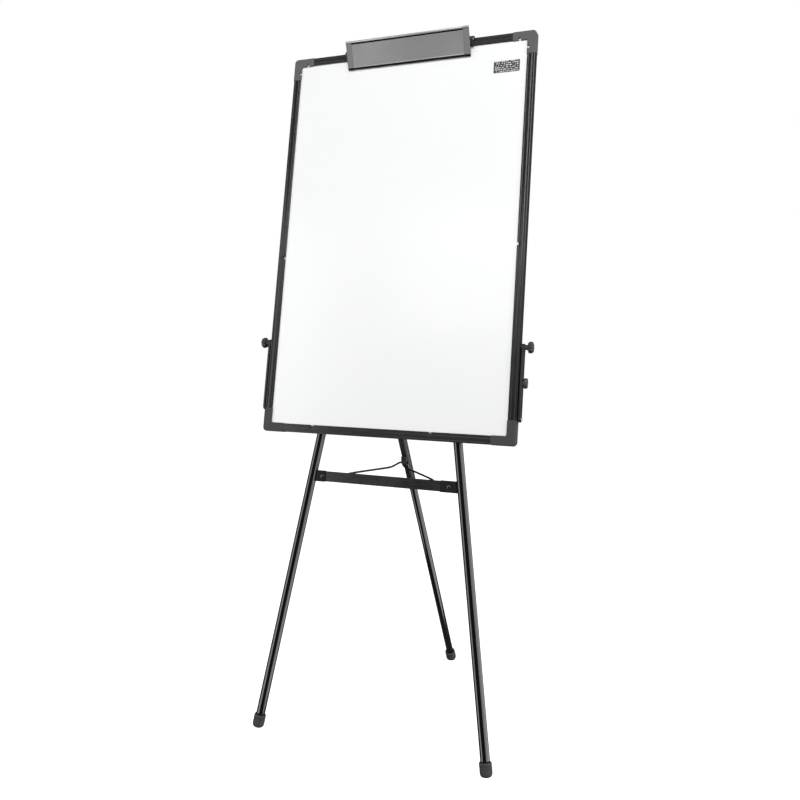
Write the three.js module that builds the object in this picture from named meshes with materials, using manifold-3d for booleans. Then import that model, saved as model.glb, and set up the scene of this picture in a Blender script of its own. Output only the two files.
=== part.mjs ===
// Folding tripod flipchart easel: a framed white board with a sprung paper clamp, on two splayed
// front legs and one folding, telescopic rear leg held by a bent wire brace. Millimetres, +Z up.
// The board is drawn upright in its own frame (x right, y depth behind its front face, z height
// above its bottom edge) and then leant back, so most positions below are in that board frame.
import * as THREE from "three";
import * as BufferGeometryUtils from "three/addons/utils/BufferGeometryUtils.js";
import Module from "manifold-3d";

const wasm = await Module();
wasm.setup();

// ---- driving dimensions ----
const RAD = Math.PI / 180;
const GAP = 0.3; // between pieces that touch
const ROUND = 24; // sides of tubes and turned pieces
const HOLE_SIDES = 16;

// board
const BOARD_W = 600;
const BOARD_H = 900;
const BOARD_LEAN = 9.7 * RAD; // from the vertical
const BOARD_FOOT_Y = -189; // bottom front edge, from the middle of the footprint
const BOARD_FOOT_Z = 654; // and above the floor
const RAIL_FACE = 19;
const RAIL_WEB = 3;
const RAIL_DEPTH = 16.5;
const RAIL_BACK_FLANGE = 15;
const GROOVE_FRONT = 3.0;
const GROOVE_BACK = 13.2;
const PANEL_EDGE = 3.4; // panel edge, in from the outside of the frame
const SHEET_T = 0.9;
const CORE_T = 7.5;
const BACK_T = 0.6;
const CAP_ARM = 52;
const CAP_PROUD = 0.8;
const CAP_BEVEL = 0.56;
const CAP_OUTER_R = 9;
const CAP_INNER_R = 4;
const CAP_HOLE_R = 3.1; // open to the inner edge of the cap
const CAP_HOLE_ALONG = 36.5;
const CAP_HOLE_ACROSS = 17;
const LABEL = { x: 236, z: 825, w: 59, h: 27, t: 0.3 };

// front legs
const LEG_R = 10;
const LEG_WALL = 1.2;
const LEG_DEPTH = 34.5; // leg axis behind the front face of the board
const LEG_X0 = 165.1; // leg axis sideways, level with the bottom edge of the board
const LEG_SPLAY = 8.836 * RAD;
const LEG_TOP = 886;
const FOOT_R = 13;
const FOOT_SOLE = 12; // height of the rounded end below its widest ring
const FOOT_SQUARENESS = 3.2; // power of the rounded end's curve, 2 being an ellipse
const FOOT_RING_Z = 10.6; // widest ring's centre above the floor, the sole cut flat below
const FOOT_LENGTH = 17; // from the widest ring to the mouth
const FOOT_BORE_DEPTH = 11;
const BACK_RAIL_Z = 97;
const BACK_RAIL_H = 30;
const BACK_RAIL_SHORT = 4; // at each end, in from the side of the board
const BACK_RAIL_D0 = RAIL_DEPTH + GAP;
const BACK_RAIL_D1 = 23.8;
const HEAD_BLOCK = { w: 118, z0: 846, z1: 894 };
const SADDLE_FOOT = 21;
const SADDLE_T = 2;
const SADDLE_LENGTH = 24;
const UPPER_SADDLE_Z = 868;

// crossbar between the front legs
const BAR_Z = -94;
const BAR_H = 23;
const BAR_X = 161;
const BAR_D0 = 33;
const BAR_D1 = 35.5;
const BRACKET_D0 = 30.8;
const BRACKET_D1 = 37.7;
const BRACKET_WALL = 1.9;
const BRACKET_H = 25;
const BRACKET_IN = { left: 146, right: 131 };
const BAR_RIVET_X = { left: 154, right: 151 };
const BAR_RIVET_R = 2.4;
const BAR_HOLE_R = 2.7;
const HOOK_X0 = 117.5;
const HOOK_X1 = 122.5;
const HOOK_T = 1.8;

// rear leg
const HINGE_Z = 97.1;
const HINGE_D = 45.1;
const REAR_ANGLE = 37.9 * RAD; // from the plane of the board
const PIN_R = 3.5;
const REAR_UPPER_END = 254; // distances down the leg from the hinge
const REAR_LOWER_TOP = 184;
const REAR_LOWER_R = 8.75;
const REAR_UPPER_BORE = 9.1;
const CLIP_AT = 177;
const CLIP_OFF = 14; // wire centre in front of the leg axis

// wire brace: half of its path, across and down from the clip
const WIRE_R = 2;
const WIRE_DROP = 105.8;
const WIRE_LEAN = 66.2 * RAD;
const WIRE_PATH = [[8, 0], [13, 5], [15.5, 17], [21, 31], [34, 40], [92, 74], [107, 86], [113, 99]];
const WIRE_TIP = 126;

// paper clamp
const CLAMP_W = 304;
const CLAMP_END_W = 14;
const CLAMP_H = 64.5;
const CLAMP_TILT = 23.8 * RAD; // top edge away from the board
const CLAMP_FOOT = { d: 0.6, z: 858 };
const ROD_R = 2.5;
const ROD_FIT = 2.6;
const ROD_D = -7; // in front of the frame
const ROD_Z = 894;
const EAR_T = 5;
const SPRING_R = 4.4;
const SPRING_WIRE = 0.7;
const SPRING_TURNS = 5;

// side arms
const ARM_X0 = 303;
const ARM_T = 4.5;
const ARM_W = 14;
const ARM_D = 9;
const ARM_TOP = 205;
const ARM_END = 56;
const STUD_R = 3;
const KNOB_R = 12.2;
const KNOB_NECK_R = 5.5;
const KNOB_HEAD = 315.5;
const KNOB_TOP = 325.5;
const SMALL_KNOB_Z = 130;
const STOP_STEM_R = 2.6;
const ARM_PIN_R = 3.2;

// ---- materials ----
const FINISHES = {
  sheet: [0xf4f6f5, 0.22, 0.0],
  core: [0xb79a72, 0.85, 0.0],
  backSheet: [0x9ba0a3, 0.45, 0.6],
  rail: [0x2c2d2f, 0.36, 0.55],
  capTop: [0x66676a, 0.7, 0.0],
  capBottom: [0x3b3c3e, 0.72, 0.0],
  label: [0x55585b, 0.5, 0.0],
  steel: [0xc9ccce, 0.28, 0.9],
  enamel: [0x151617, 0.24, 0.35],
  matteTube: [0x323336, 0.5, 0.3],
  plastic: [0x232426, 0.6, 0.0],
  rubber: [0x2e2f31, 0.85, 0.0],
  bar: [0x3c3d3f, 0.48, 0.4],
  wire: [0x1d1e20, 0.35, 0.6],
  clampFace: [0x85878a, 0.34, 0.75],
  clampEnd: [0x6d6f72, 0.66, 0.0],
  knob: [0x343537, 0.62, 0.0],
};

const group = new THREE.Group();
group.name = "flipchart_easel";

function add(name, geometry, finish) {
  const [color, roughness, metalness] = FINISHES[finish];
  const material = new THREE.MeshStandardMaterial({ color, roughness, metalness });
  const mesh = new THREE.Mesh(geometry, material);
  mesh.name = name;
  group.add(mesh);
}

// ---- frames ----
const boardFrame = new THREE.Matrix4()
  .makeTranslation(0, BOARD_FOOT_Y, BOARD_FOOT_Z)
  .multiply(new THREE.Matrix4().makeRotationX(-BOARD_LEAN));

function inBoard(x, depth, z) {
  return boardFrame.clone().multiply(new THREE.Matrix4().makeTranslation(x, depth, z));
}

function legFrame(side) {
  const splay = new THREE.Matrix4().makeRotationY(-side * LEG_SPLAY);
  return inBoard(side * LEG_X0, LEG_DEPTH, 0).multiply(splay);
}

const rearFrame = inBoard(0, HINGE_D, HINGE_Z)
  .multiply(new THREE.Matrix4().makeRotationX(REAR_ANGLE));
const clipDepth = HINGE_D + CLIP_AT * Math.sin(REAR_ANGLE) - CLIP_OFF * Math.cos(REAR_ANGLE);
const clipZ = HINGE_Z - CLIP_AT * Math.cos(REAR_ANGLE) - CLIP_OFF * Math.sin(REAR_ANGLE);
const braceFrame = inBoard(0, clipDepth, clipZ)
  .multiply(new THREE.Matrix4().makeRotationX(-WIRE_LEAN));
const hookDepth = clipDepth - WIRE_DROP * Math.sin(WIRE_LEAN);
const hookZ = clipZ - WIRE_DROP * Math.cos(WIRE_LEAN);
const clampFrame = inBoard(0, CLAMP_FOOT.d, CLAMP_FOOT.z)
  .multiply(new THREE.Matrix4().makeRotationX(CLAMP_TILT));
const rodInClamp = new THREE.Vector3(0, ROD_D - CLAMP_FOOT.d, ROD_Z - CLAMP_FOOT.z)
  .applyMatrix4(new THREE.Matrix4().makeRotationX(-CLAMP_TILT));

// ---- shape helpers ----
const polygon = (points) => new THREE.Shape(points.map(([x, y]) => new THREE.Vector2(x, y)));

function arc(cx, cy, r, from, to, steps) {
  const points = [];
  for (let i = 0; i <= steps; i++) {
    const t = from + ((to - from) * i) / steps;
    points.push([cx + r * Math.cos(t), cy + r * Math.sin(t)]);
  }
  return points;
}

function disc(r, steps, cx = 0, cy = 0) {
  return polygon(arc(cx, cy, r, 0, 2 * Math.PI * (1 - 1 / steps), steps - 1));
}

function withHoles(shape, holes) {
  for (const [x, y, r] of holes) shape.holes.push(disc(r, HOLE_SIDES, x, y));
  return shape;
}

function roundedRect(x0, x1, y0, y1, r, steps = 3) {
  const q = Math.PI / 2;
  return polygon([
    ...arc(x1 - r, y1 - r, r, 0, q, steps),
    ...arc(x0 + r, y1 - r, r, q, 2 * q, steps),
    ...arc(x0 + r, y0 + r, r, 2 * q, 3 * q, steps),
    ...arc(x1 - r, y0 + r, r, 3 * q, 4 * q, steps),
  ]);
}

// an extrusion whose outline is (x, z), from depth y0 to y1
function slab(shape, y0, y1, bevel = 0) {
  const geometry = extrude(shape, y1 - y0, bevel);
  return geometry.rotateX(Math.PI / 2).translate(0, y1, 0);
}

// an extrusion whose outline is (depth, z), from x0 to x1
function beam(shape, x0, x1, bevel = 0) {
  const geometry = extrude(shape, x1 - x0, bevel);
  const turn = new THREE.Matrix4().makeBasis(
    new THREE.Vector3(0, 1, 0),
    new THREE.Vector3(0, 0, 1),
    new THREE.Vector3(1, 0, 0),
  );
  return geometry.applyMatrix4(turn).translate(x0, 0, 0);
}

// an extrusion whose outline is (x, depth), from z0 to z1
const post = (shape, z0, z1, bevel = 0) => extrude(shape, z1 - z0, bevel).translate(0, 0, z0);

function extrude(shape, depth, bevel) {
  const geometry = new THREE.ExtrudeGeometry(shape, {
    depth: depth - 2 * bevel,
    bevelEnabled: bevel > 0,
    bevelThickness: bevel,
    bevelSize: bevel,
    bevelOffset: -bevel,
    bevelSegments: 1,
    steps: 1,
  });
  return geometry.translate(0, 0, bevel);
}

// a turned piece about z; points are [radius, z], from the bottom up, closed or ending on the axis
function turned(points, segments = ROUND) {
  const profile = points.map(([r, z]) => new THREE.Vector2(r, z));
  return new THREE.LatheGeometry(profile, segments).rotateX(Math.PI / 2);
}

function tube(outer, inner, z0, z1, segments = ROUND) {
  return turned([[inner, z0], [outer, z0], [outer, z1], [inner, z1], [inner, z0]], segments);
}

const alongX = (geometry) => geometry.rotateY(Math.PI / 2);

// ---- booleans ----
function toSolid(geometry) {
  const bare = geometry.clone();
  bare.deleteAttribute("normal");
  bare.deleteAttribute("uv");
  const merged = BufferGeometryUtils.mergeVertices(bare, 1e-4);
  return new wasm.Manifold(new wasm.Mesh({
    numProp: 3,
    vertProperties: new Float32Array(merged.attributes.position.array),
    triVerts: new Uint32Array(merged.index.array),
  }));
}

function fromSolid(solid) {
  const mesh = solid.getMesh();
  const geometry = new THREE.BufferGeometry();
  geometry.setAttribute("position", new THREE.BufferAttribute(new Float32Array(mesh.vertProperties), 3));
  geometry.setIndex(new THREE.BufferAttribute(new Uint32Array(mesh.triVerts), 1));
  geometry.computeVertexNormals();
  return geometry;
}

function union(...parts) {
  return fromSolid(parts.map(toSolid).reduce((a, b) => a.add(b)));
}

function cut(body, ...tools) {
  return fromSolid(tools.map(toSolid).reduce((a, b) => a.subtract(b), toSolid(body)));
}

// ---- board: laminated panel, four grooved rails, four corner caps ----
const half = BOARD_W / 2;
const sheetFront = GROOVE_FRONT + GAP;
const coreFront = sheetFront + SHEET_T + GAP;
const backFront = coreFront + CORE_T + GAP;
function panel(front, thickness) {
  const reach = half - PANEL_EDGE;
  const outline = roundedRect(-reach, reach, PANEL_EDGE, BOARD_H - PANEL_EDGE, 3, 2);
  return slab(outline, front, front + thickness).applyMatrix4(boardFrame);
}
add("writing_sheet", panel(sheetFront, SHEET_T), "sheet");
add("board_core", panel(coreFront, CORE_T), "core");
add("back_sheet", panel(backFront, BACK_T), "backSheet");

// section of a rail: [in from the outside of the frame, depth]
const RAIL_SECTION = [
  [0, 1.2], [1.2, 0], [4.6, 0], [5.2, 0.8], [6.2, 0.8], [6.8, 0], [13.4, 0], [14, 0.8], [15, 0.8],
  [15.6, 0], [18, 0], [RAIL_FACE, 1.1], [RAIL_FACE, GROOVE_FRONT], [RAIL_WEB, GROOVE_FRONT],
  [RAIL_WEB, GROOVE_BACK], [RAIL_BACK_FLANGE, GROOVE_BACK], [RAIL_BACK_FLANGE, RAIL_DEPTH],
  [1.2, RAIL_DEPTH], [0, RAIL_DEPTH - 1.2],
];
const railEnd = CAP_ARM + GAP;
const across = [railEnd - half, half - railEnd];
const upward = [railEnd, BOARD_H - railEnd];
const bottomSection = polygon(RAIL_SECTION.map(([a, d]) => [d, a]));
const topSection = polygon(RAIL_SECTION.map(([a, d]) => [d, BOARD_H - a]));
const leftSection = polygon(RAIL_SECTION.map(([a, d]) => [a - half, d]));
const rightSection = polygon(RAIL_SECTION.map(([a, d]) => [half - a, d]));
add("rail_bottom", beam(bottomSection, ...across).applyMatrix4(boardFrame), "rail");
add("rail_top", beam(topSection, ...across).applyMatrix4(boardFrame), "rail");
add("rail_left", post(leftSection, ...upward).applyMatrix4(boardFrame), "rail");
add("rail_right", post(rightSection, ...upward).applyMatrix4(boardFrame), "rail");

// an L-shaped cap; sx and top choose the corner, inner is how far its arms reach in
function capOutline(sx, top, inner, innerR) {
  const q = Math.PI / 2;
  const o = -CAP_PROUD;
  const corner = [
    ...arc(o + CAP_OUTER_R, o + CAP_OUTER_R, CAP_OUTER_R, 2 * q, 3 * q, 5),
    [CAP_ARM, o],
    [CAP_ARM, inner],
    ...arc(inner + innerR, inner + innerR, innerR, 3 * q, 2 * q, 3),
    [inner, CAP_ARM],
    [o, CAP_ARM],
  ];
  return corner.map(([a, b]) => [sx * (half - a), top ? BOARD_H - b : b]);
}

function cornerCap(sx, top) {
  const front = polygon(capOutline(sx, top, RAIL_FACE + CAP_PROUD, CAP_INNER_R));
  const rim = polygon(capOutline(sx, top, PANEL_EDGE - GAP, 0.5));
  const back = polygon(capOutline(sx, top, RAIL_BACK_FLANGE + CAP_PROUD, CAP_INNER_R));
  const rimLap = 0.9;
  const body = union(
    slab(front, -CAP_PROUD, GROOVE_FRONT, CAP_BEVEL),
    slab(rim, GROOVE_FRONT - rimLap, GROOVE_BACK + rimLap),
    slab(back, GROOVE_BACK, RAIL_DEPTH + CAP_PROUD, CAP_BEVEL),
  );
  if (!top) return body.applyMatrix4(boardFrame);
  const spots = [[CAP_HOLE_ALONG, CAP_HOLE_ACROSS], [CAP_HOLE_ACROSS, CAP_HOLE_ALONG]];
  const holes = spots.map(([a, b]) => {
    const round = disc(CAP_HOLE_R, HOLE_SIDES, sx * (half - a), BOARD_H - b);
    return slab(round, -2 * CAP_PROUD, GROOVE_FRONT + GAP / 2);
  });
  return cut(body, ...holes).applyMatrix4(boardFrame);
}
add("corner_top_left", cornerCap(-1, true), "capTop");
add("corner_top_right", cornerCap(1, true), "capTop");
add("corner_bottom_left", cornerCap(-1, false), "capBottom");
add("corner_bottom_right", cornerCap(1, false), "capBottom");

const label = roundedRect(
  LABEL.x - LABEL.w / 2, LABEL.x + LABEL.w / 2,
  LABEL.z - LABEL.h / 2, LABEL.z + LABEL.h / 2, 2, 2,
);
const labelFront = sheetFront - 0.2 - LABEL.t;
add("label_sticker", slab(label, labelFront, labelFront + LABEL.t).applyMatrix4(boardFrame), "label");

// ---- front legs and what holds them to the board ----
const backRail = roundedRect(
  BACK_RAIL_D0, BACK_RAIL_D1,
  BACK_RAIL_Z - BACK_RAIL_H / 2, BACK_RAIL_Z + BACK_RAIL_H / 2, 1.5, 2,
);
const backRailHalf = half - BACK_RAIL_SHORT;
add("back_rail", beam(backRail, -backRailHalf, backRailHalf).applyMatrix4(boardFrame), "matteTube");

const { w: blockW, z0: blockLow, z1: blockHigh } = HEAD_BLOCK;
const headBlock = roundedRect(-blockW / 2, blockW / 2, blockLow, blockHigh, 8, 3);
const headBlockBody = slab(headBlock, BACK_RAIL_D0, BACK_RAIL_D1, 1);
add("head_block", headBlockBody.applyMatrix4(boardFrame), "plastic");

function saddle(side, height) {
  const inner = LEG_R + GAP;
  const outer = inner + SADDLE_T;
  const seat = BACK_RAIL_D1 + GAP - LEG_DEPTH;
  const outline = polygon([
    [-SADDLE_FOOT, seat], [-inner, seat], ...arc(0, 0, inner, Math.PI, 0, 12),
    [inner, seat], [SADDLE_FOOT, seat], [SADDLE_FOOT, seat + SADDLE_T], [outer, seat + SADDLE_T],
    ...arc(0, 0, outer, 0, Math.PI, 12), [-outer, seat + SADDLE_T], [-SADDLE_FOOT, seat + SADDLE_T],
  ]);
  const along = height / Math.cos(LEG_SPLAY);
  const body = post(outline, along - SADDLE_LENGTH / 2, along + SADDLE_LENGTH / 2, 0.4);
  return body.applyMatrix4(legFrame(side));
}

// how far down a frame's z axis the point at a given height above the floor lies
function runTo(frame, height) {
  const e = frame.elements;
  return (height - e[14]) / e[10];
}

// a moulded foot: rounded sole cut flat on the floor, a ring groove, a slight taper to its mouth
function foot(frame, tubeR) {
  const ring = runTo(frame, FOOT_RING_Z);
  const top = ring + FOOT_LENGTH;
  const bore = tubeR + GAP;
  const power = 2 / FOOT_SQUARENESS;
  const steps = 8;
  const profile = [[0, ring - FOOT_SOLE]];
  for (let i = 1; i < steps; i++) {
    const t = (i / steps) * 90 * RAD;
    profile.push([FOOT_R * Math.sin(t) ** power, ring - FOOT_SOLE * Math.cos(t) ** power]);
  }
  profile.push([FOOT_R, ring], [FOOT_R, ring + 5], [FOOT_R - 0.8, ring + 5.8]);
  profile.push([FOOT_R - 0.8, ring + 7.2], [FOOT_R, ring + 8], [FOOT_R, top - 1.5]);
  profile.push([FOOT_R - 0.9, top], [bore, top]);
  profile.push([bore, top - FOOT_BORE_DEPTH], [0, top - FOOT_BORE_DEPTH]);
  const e = frame.elements;
  const block = 100;
  const below = new THREE.BoxGeometry(block, block, block)
    .translate(e[12] + e[8] * ring, e[13] + e[9] * ring, -block / 2);
  return cut(turned(profile).applyMatrix4(frame), below);
}

const tubeStart = FOOT_LENGTH - FOOT_BORE_DEPTH + GAP;
for (const [side, label] of [[-1, "left"], [1, "right"]]) {
  const frame = legFrame(side);
  const low = runTo(frame, FOOT_RING_Z) + tubeStart;
  const high = LEG_TOP / Math.cos(LEG_SPLAY);
  add(`leg_tube_${label}`, tube(LEG_R, LEG_R - LEG_WALL, low, high).applyMatrix4(frame), "enamel");
  add(`leg_foot_${label}`, foot(frame, LEG_R), "rubber");
  const plugFit = LEG_R - LEG_WALL - GAP;
  const plug = turned([
    [0, high - 9], [plugFit, high - 9], [plugFit, high + GAP],
    [LEG_R, high + GAP], [LEG_R - 1, high + 2.4], [0, high + 3],
  ]);
  add(`leg_plug_${label}`, plug.applyMatrix4(frame), "plastic");
  add(`leg_saddle_upper_${label}`, saddle(side, UPPER_SADDLE_Z), "matteTube");
  add(`leg_saddle_lower_${label}`, saddle(side, BACK_RAIL_Z), "matteTube");
}

// ---- crossbar, its end brackets, rivets and brace hooks ----
const barRect = roundedRect(-BAR_X, BAR_X, BAR_Z - BAR_H / 2, BAR_Z + BAR_H / 2, 1.5, 2);
const barHoles = [[-BAR_RIVET_X.left, BAR_Z, BAR_HOLE_R], [BAR_RIVET_X.right, BAR_Z, BAR_HOLE_R]];
add("crossbar", slab(withHoles(barRect, barHoles), BAR_D0, BAR_D1).applyMatrix4(boardFrame), "bar");

function barBracket(side, inner, rivetX) {
  const legSide = (z) => LEG_X0 - z * Math.tan(LEG_SPLAY) - (LEG_R + GAP) / Math.cos(LEG_SPLAY);
  const z0 = BAR_Z - BRACKET_H / 2;
  const z1 = BAR_Z + BRACKET_H / 2;
  const outline = (from) => polygon([
    [side * from, z0 + 1.5], [side * (from + 1.5), z0], [side * legSide(z0), z0],
    [side * legSide(z1), z1], [side * (from + 1.5), z1], [side * from, z1 - 1.5],
  ]);
  const body = slab(outline(inner), BRACKET_D0, BRACKET_D1, 0.4);
  const slotEnd = BAR_X + GAP;
  const past = 5;
  const slot = polygon([
    [side * (inner - past), z0 - past], [side * slotEnd, z0 - past],
    [side * slotEnd, z1 + past], [side * (inner - past), z1 + past],
  ]);
  const gap = slab(slot, BAR_D0 - GAP, BAR_D1 + GAP);
  const hole = slab(disc(BAR_HOLE_R, HOLE_SIDES, side * rivetX, BAR_Z), BRACKET_D0 - 2, BRACKET_D1 + 2);
  return cut(body, gap, hole).applyMatrix4(boardFrame);
}

function barRivet(x) {
  const length = BRACKET_D1 - BRACKET_D0 + 2 * GAP;
  const r = BAR_RIVET_R;
  const profile = [[0, -1.8], [r, -1.6], [r + 1.8, -0.6], [r + 2, 0], [r, 0], [r, length]];
  profile.push([r + 2, length], [r + 1.8, length + 0.6], [r, length + 1.6], [0, length + 1.8]);
  const body = turned(profile, HOLE_SIDES).rotateX(-Math.PI / 2);
  return body.translate(x, BRACKET_D0 - GAP, BAR_Z).applyMatrix4(boardFrame);
}

// an inverted J behind the crossbar, open below, that holds one tip of the wire brace
function braceHook(side) {
  const face = BAR_D1 + GAP;
  const reach = hookDepth + WIRE_R + 0.8;
  const roof = hookZ + WIRE_R + 0.8;
  const t = HOOK_T;
  const outline = polygon([
    [face, BAR_Z - 8], [face + t, BAR_Z - 8], [face + t, roof], [reach, roof], [reach, hookZ - 6],
    [reach + t, hookZ - 6], [reach + t, roof + t - 0.6], [reach + t - 0.6, roof + t], [face, roof + t],
  ]);
  const [x0, x1] = side > 0 ? [HOOK_X0, HOOK_X1] : [-HOOK_X1, -HOOK_X0];
  return beam(outline, x0, x1).applyMatrix4(boardFrame);
}
for (const [side, label] of [[-1, "left"], [1, "right"]]) {
  add(`bar_bracket_${label}`, barBracket(side, BRACKET_IN[label], BAR_RIVET_X[label]), "plastic");
  add(`bar_rivet_${label}`, barRivet(side * BAR_RIVET_X[label]), "steel");
  add(`brace_hook_${label}`, braceHook(side), "bar");
}

// ---- rear leg: hinge bracket, pin, knuckle, two tubes, bushing and foot ----
const EAR_X0 = 10.9;
const EAR_X1 = 13.9;
const HINGE_PLATE_T = 3;
const HINGE_HALF_H = 14;
const PIN_FIT = PIN_R + 0.1;
const PIN_SIDES = 20;
const PIN_BORE_HALF = 20; // half length of the boring tool
const bracketBase = BACK_RAIL_D1 + GAP;
const ear = polygon([
  [bracketBase, HINGE_Z - HINGE_HALF_H], [bracketBase + HINGE_PLATE_T, HINGE_Z - HINGE_HALF_H],
  ...arc(HINGE_D, HINGE_Z, 9, -0.7 * Math.PI, 0.6 * Math.PI, 10), [bracketBase, HINGE_Z + HINGE_HALF_H],
]);
const base = roundedRect(-24, 24, HINGE_Z - HINGE_HALF_H, HINGE_Z + HINGE_HALF_H, 3, 2);
const hingeHole = beam(disc(PIN_FIT, PIN_SIDES, HINGE_D, HINGE_Z), -PIN_BORE_HALF, PIN_BORE_HALF);
const hingeBody = union(
  slab(base, bracketBase, bracketBase + HINGE_PLATE_T),
  beam(ear, EAR_X0, EAR_X1),
  beam(ear, -EAR_X1, -EAR_X0),
);
add("hinge_bracket", cut(hingeBody, hingeHole).applyMatrix4(boardFrame), "matteTube");

const pinHalf = EAR_X1 + GAP;
const PIN_HEAD_R = 5.6;
const pinHead = [
  [PIN_R, pinHalf], [PIN_HEAD_R, pinHalf], [PIN_HEAD_R, pinHalf + 1],
  [PIN_HEAD_R - 0.6, pinHalf + 2], [0, pinHalf + 2],
];
const pinTail = pinHead.map(([r, x]) => [r, -x]).reverse();
const hingePin = alongX(turned([...pinTail, ...pinHead], PIN_SIDES)).translate(0, HINGE_D, HINGE_Z);
add("hinge_pin", hingePin.applyMatrix4(boardFrame), "steel");

const plugR = REAR_UPPER_BORE - GAP;
const knuckleHalf = EAR_X0 - 0.4;
const knuckle = union(
  beam(disc(8, ROUND), -knuckleHalf, knuckleHalf, 0.5),
  turned([[0, -34], [plugR, -34], [plugR, -4], [0, -4]]),
  turned([[0, -11.6], [LEG_R, -11.6], [LEG_R, -8], [6, -3], [0, -3]]),
);
const knuckleBore = beam(disc(PIN_FIT, PIN_SIDES), -PIN_BORE_HALF, PIN_BORE_HALF);
add("rear_knuckle", cut(knuckle, knuckleBore).applyMatrix4(rearFrame), "plastic");

const upperTube = tube(LEG_R, REAR_UPPER_BORE, -REAR_UPPER_END, -12);
add("rear_leg_upper", upperTube.applyMatrix4(rearFrame), "matteTube");

const bushTop = -REAR_UPPER_END - GAP;
const bushBore = REAR_LOWER_R + GAP;
const bushing = turned([
  [bushBore, bushTop - 7], [LEG_R, bushTop - 7], [LEG_R + 0.8, bushTop - 6],
  [LEG_R + 0.8, bushTop - 1], [LEG_R, bushTop], [bushBore, bushTop], [bushBore, bushTop - 7],
]);
add("rear_bushing", bushing.applyMatrix4(rearFrame), "plastic");

const rearLow = runTo(rearFrame, FOOT_RING_Z) + tubeStart;
const lowerTube = tube(REAR_LOWER_R, REAR_LOWER_R - LEG_WALL, rearLow, -REAR_LOWER_TOP);
add("rear_leg_lower", lowerTube.applyMatrix4(rearFrame), "enamel");
add("rear_foot", foot(rearFrame, REAR_LOWER_R), "rubber");

// ---- wire brace and the clip that holds its bend on the rear leg ----
const clipOutline = polygon([
  [-LEG_R - GAP, -14], [-LEG_R - GAP, 14], [-LEG_R - 3, 16], [-CLIP_OFF - 3.4, 8], [-CLIP_OFF - 4.6, 3],
  [-CLIP_OFF - 4.6, -3], [-CLIP_OFF - 3.4, -8], [-LEG_R - 3, -16],
]);
const clipBore = beam(disc(WIRE_R + 0.35, HOLE_SIDES, -CLIP_OFF, 0), -20, 20);
const clip = cut(beam(clipOutline, -6.5, 6.5, 0.6), clipBore).translate(0, 0, -CLIP_AT);
add("brace_clip", clip.applyMatrix4(rearFrame), "plastic");

function wirePoints() {
  const right = [...WIRE_PATH, [116, WIRE_DROP], [WIRE_TIP, WIRE_DROP]];
  const left = right.map(([x, t]) => [-x, t]).reverse();
  return [...left, ...right].map(([x, t]) => new THREE.Vector3(x, 0, -t));
}

// a swept wire with one ring at each corner of its path, in the plane y = 0
function sweptWire(points, r, sides) {
  const rings = points.map((p, i) => {
    const before = i > 0 ? p.clone().sub(points[i - 1]).normalize() : null;
    const after = i + 1 < points.length ? points[i + 1].clone().sub(p).normalize() : null;
    const tangent = (before ?? after).clone().add(after ?? before).normalize();
    const stretch = before && after ? 1 / Math.max(0.75, tangent.dot(after)) : 1;
    const outward = new THREE.Vector3(-tangent.z, 0, tangent.x);
    return Array.from({ length: sides }, (_, k) => {
      const t = (2 * Math.PI * k) / sides;
      return p.clone()
        .addScaledVector(outward, r * stretch * Math.cos(t))
        .add(new THREE.Vector3(0, r * Math.sin(t), 0));
    });
  });
  const position = [];
  const index = [];
  rings.flat().forEach((v) => position.push(v.x, v.y, v.z));
  for (let i = 0; i + 1 < rings.length; i++) {
    for (let k = 0; k < sides; k++) {
      const a = i * sides + k;
      const b = i * sides + ((k + 1) % sides);
      index.push(a, a + sides, b, b, a + sides, b + sides);
    }
  }
  const last = (rings.length - 1) * sides;
  for (let k = 1; k + 1 < sides; k++) {
    index.push(0, k, k + 1);
    index.push(last, last + k + 1, last + k);
  }
  const geometry = new THREE.BufferGeometry();
  geometry.setAttribute("position", new THREE.Float32BufferAttribute(position, 3));
  geometry.setIndex(index);
  geometry.computeVertexNormals();
  return geometry;
}
add("brace_wire", sweptWire(wirePoints(), WIRE_R, 10).applyMatrix4(braceFrame), "wire");

// ---- paper clamp ----
const clampSection = polygon([
  [2.4, 0], [2.4, 4], [1, 4], [1, 60.4], [2.4, 60.4], [2.4, 63.2], [1.4, CLAMP_H], [-1.5, CLAMP_H],
  [-2.7, 63.2], [-2.7, 61], [-1.4, 59.6], [-0.2, 59.2], [-0.2, 58.4], [-1.2, 57.8], [-1.2, 4.4],
  [-2.4, 3.2], [-2.4, 1.2], [-1, 0],
]);
const plateHalf = CLAMP_W / 2 - CLAMP_END_W - GAP;
add("clamp_plate", beam(clampSection, -plateHalf, plateHalf).applyMatrix4(clampFrame), "clampFace");

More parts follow.
